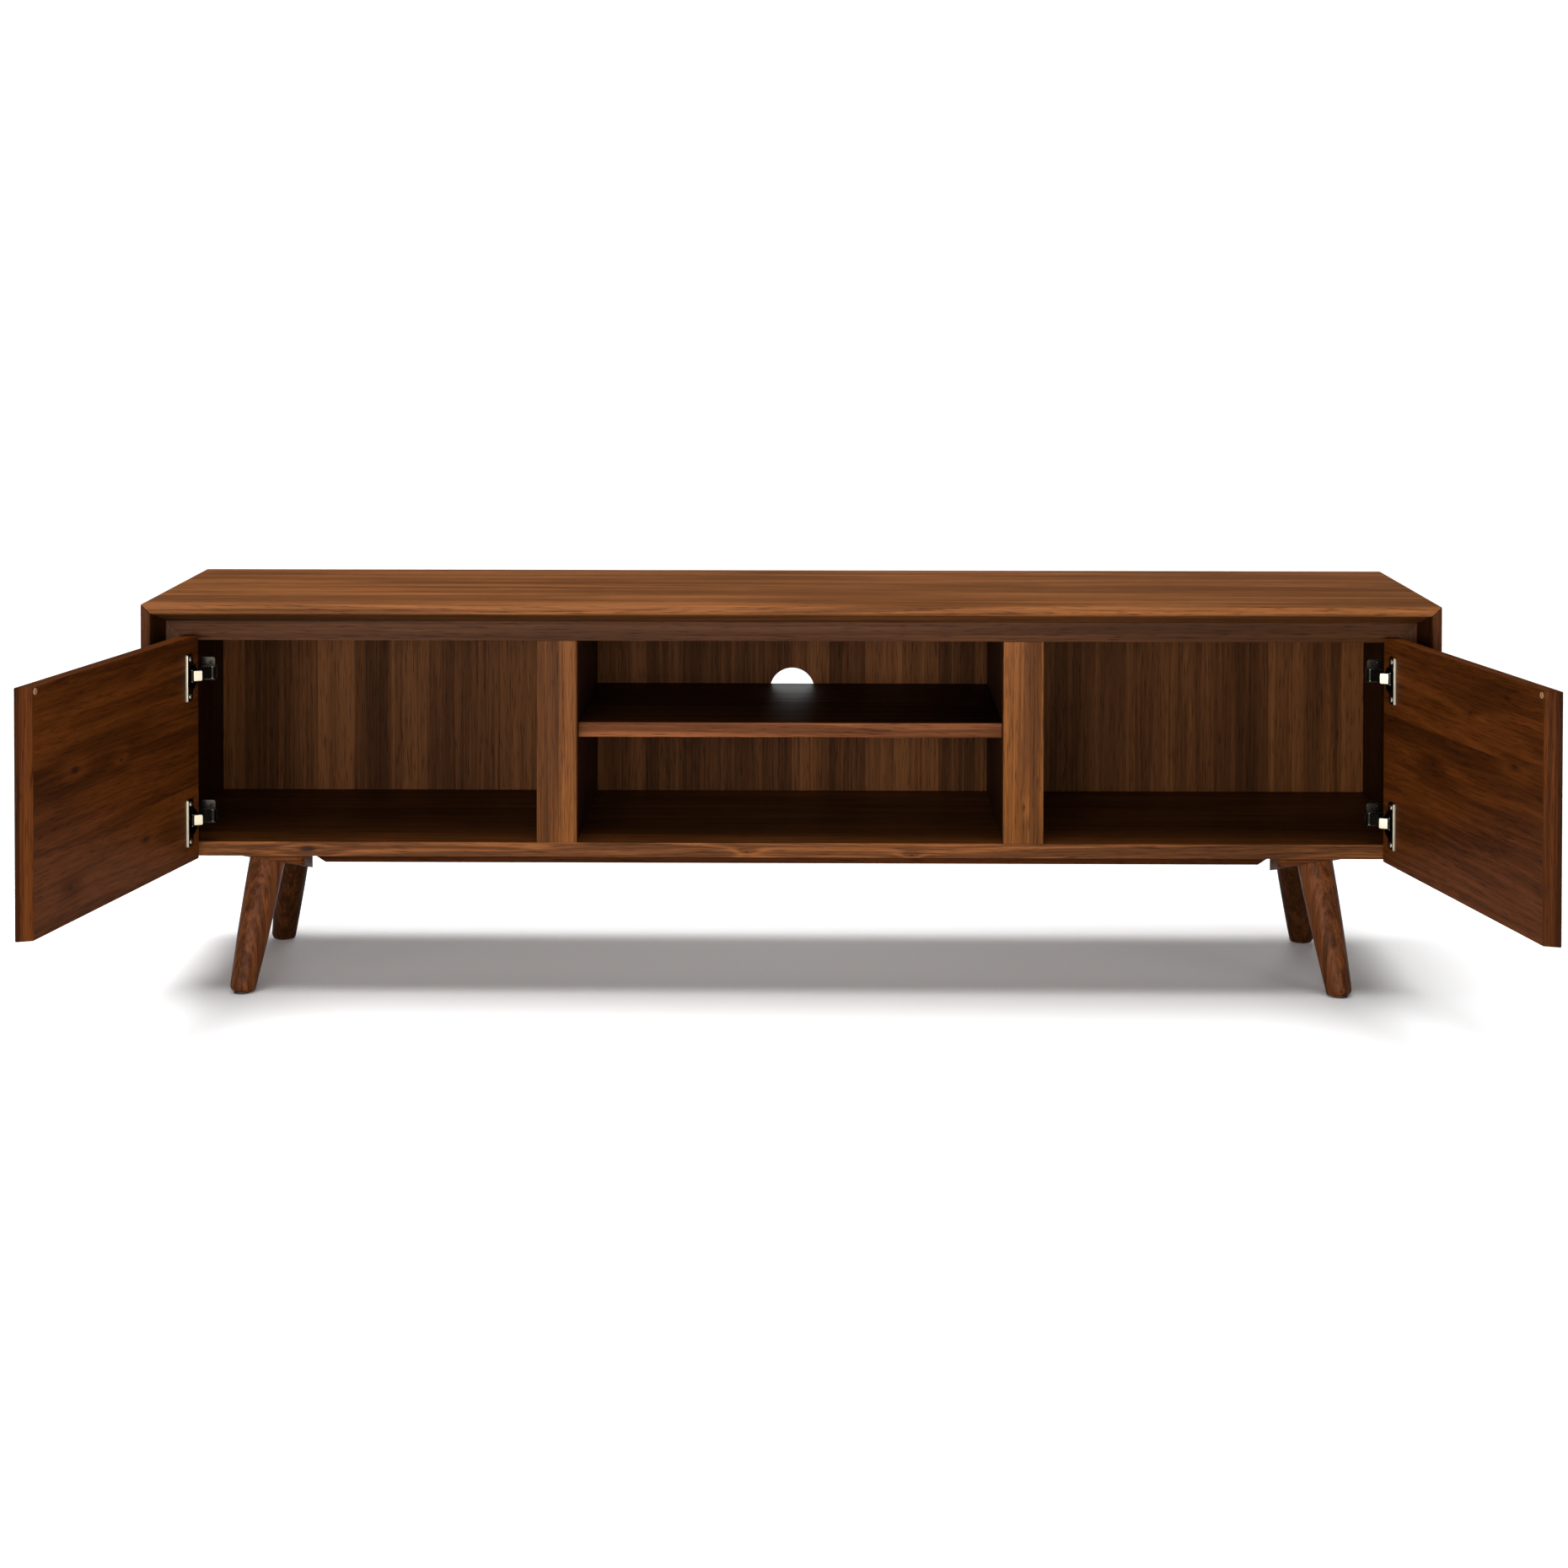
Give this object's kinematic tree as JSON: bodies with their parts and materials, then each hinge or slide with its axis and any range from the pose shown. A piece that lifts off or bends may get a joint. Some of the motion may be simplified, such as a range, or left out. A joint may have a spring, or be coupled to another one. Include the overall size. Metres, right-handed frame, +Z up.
{
  "type": "media cabinet",
  "caption": "Low walnut media cabinet on splayed legs: a hinged door at each end and open shelf space with a cable port between them.",
  "frame": {"origin": "on the floor, below the middle of the box round the cabinet with both doors open", "axes": "+X to the right seen from the front, +Y to the back, +Z up"},
  "size_m": [1.8906, 0.9724, 0.556],
  "materials": {
    "walnut_case": "oiled walnut",
    "walnut_door": "oiled walnut",
    "walnut_frame": "oiled walnut",
    "walnut_panel": "oiled walnut veneer",
    "walnut_veneer": "oiled walnut veneer in strips",
    "walnut_leg": "turned and oiled walnut",
    "hinge_nickel": "nickel-plated steel",
    "link_nickel": "nickel-plated steel",
    "fastener_steel": "zinc-plated steel",
    "bumper_felt": "soft clear bumper",
    "glide_nylon": "dark nylon"
  },
  "bodies": {
    "cabinet": {"back_panel": "walnut_veneer", "back_screws": "fastener_steel", "block_screws": "fastener_steel", "bottom_panel": "walnut_panel", "foot_glides": "glide_nylon", "front_left_leg": "walnut_leg", "front_left_leg_block": "walnut_leg", "front_right_leg": "walnut_leg", "front_right_leg_block": "walnut_leg", "left_arm_pins": "fastener_steel", "left_hinge_arms": "hinge_nickel", "left_mullion": "walnut_frame", "left_partition": "walnut_panel", "left_plate_screws": "fastener_steel", "left_side_panel": "walnut_case", "left_stile": "walnut_frame", "leg_bolts": "fastener_steel", "middle_shelf": "walnut_panel", "rear_left_leg": "walnut_leg", "rear_left_leg_block": "walnut_leg", "rear_right_leg": "walnut_leg", "rear_right_leg_block": "walnut_leg", "right_arm_pins": "fastener_steel", "right_hinge_arms": "hinge_nickel", "right_mullion": "walnut_frame", "right_partition": "walnut_panel", "right_plate_screws": "fastener_steel", "right_side_panel": "walnut_case", "right_stile": "walnut_frame", "shelf_pins": "fastener_steel", "top_panel": "walnut_case", "top_rail": "walnut_frame", "under_rail": "walnut_frame"},
    "left_links": {"left_hinge_links": "link_nickel"},
    "left_door": {"left_door": "walnut_door", "left_door_bumper": "bumper_felt", "left_hinge_cups": "hinge_nickel", "left_cup_pins": "fastener_steel", "left_cup_screws": "fastener_steel"},
    "right_links": {"right_hinge_links": "link_nickel"},
    "right_door": {"right_door": "walnut_door", "right_door_bumper": "bumper_felt", "right_hinge_cups": "hinge_nickel", "right_cup_pins": "fastener_steel", "right_cup_screws": "fastener_steel"}
  },
  "joints": [
    {"name": "left_link_pivot", "type": "hinge", "parent": "cabinet", "child": "left_links", "pos_m": [-0.8092, 0.0606, 0.3555], "axis": [0, 0, 1], "range_deg": [-48.5, 0]},
    {"name": "left_door_hinge", "type": "hinge", "parent": "left_links", "child": "left_door", "pos_m": [-0.8297, 0.02159, 0.3555], "axis": [0, 0, 1], "range_deg": [0, 149.5]},
    {"name": "right_link_pivot", "type": "hinge", "parent": "cabinet", "child": "right_links", "pos_m": [0.8092, 0.0606, 0.3555], "axis": [0, 0, -1], "range_deg": [-48.5, 0]},
    {"name": "right_door_hinge", "type": "hinge", "parent": "right_links", "child": "right_door", "pos_m": [0.8297, 0.02159, 0.3555], "axis": [0, 0, -1], "range_deg": [0, 149.5]}
  ],
  "couplings": [
    {"joint": "left_link_pivot", "follows": "left_door_hinge", "ratio": -0.32441},
    {"joint": "right_link_pivot", "follows": "right_door_hinge", "ratio": -0.32441}
  ]
}
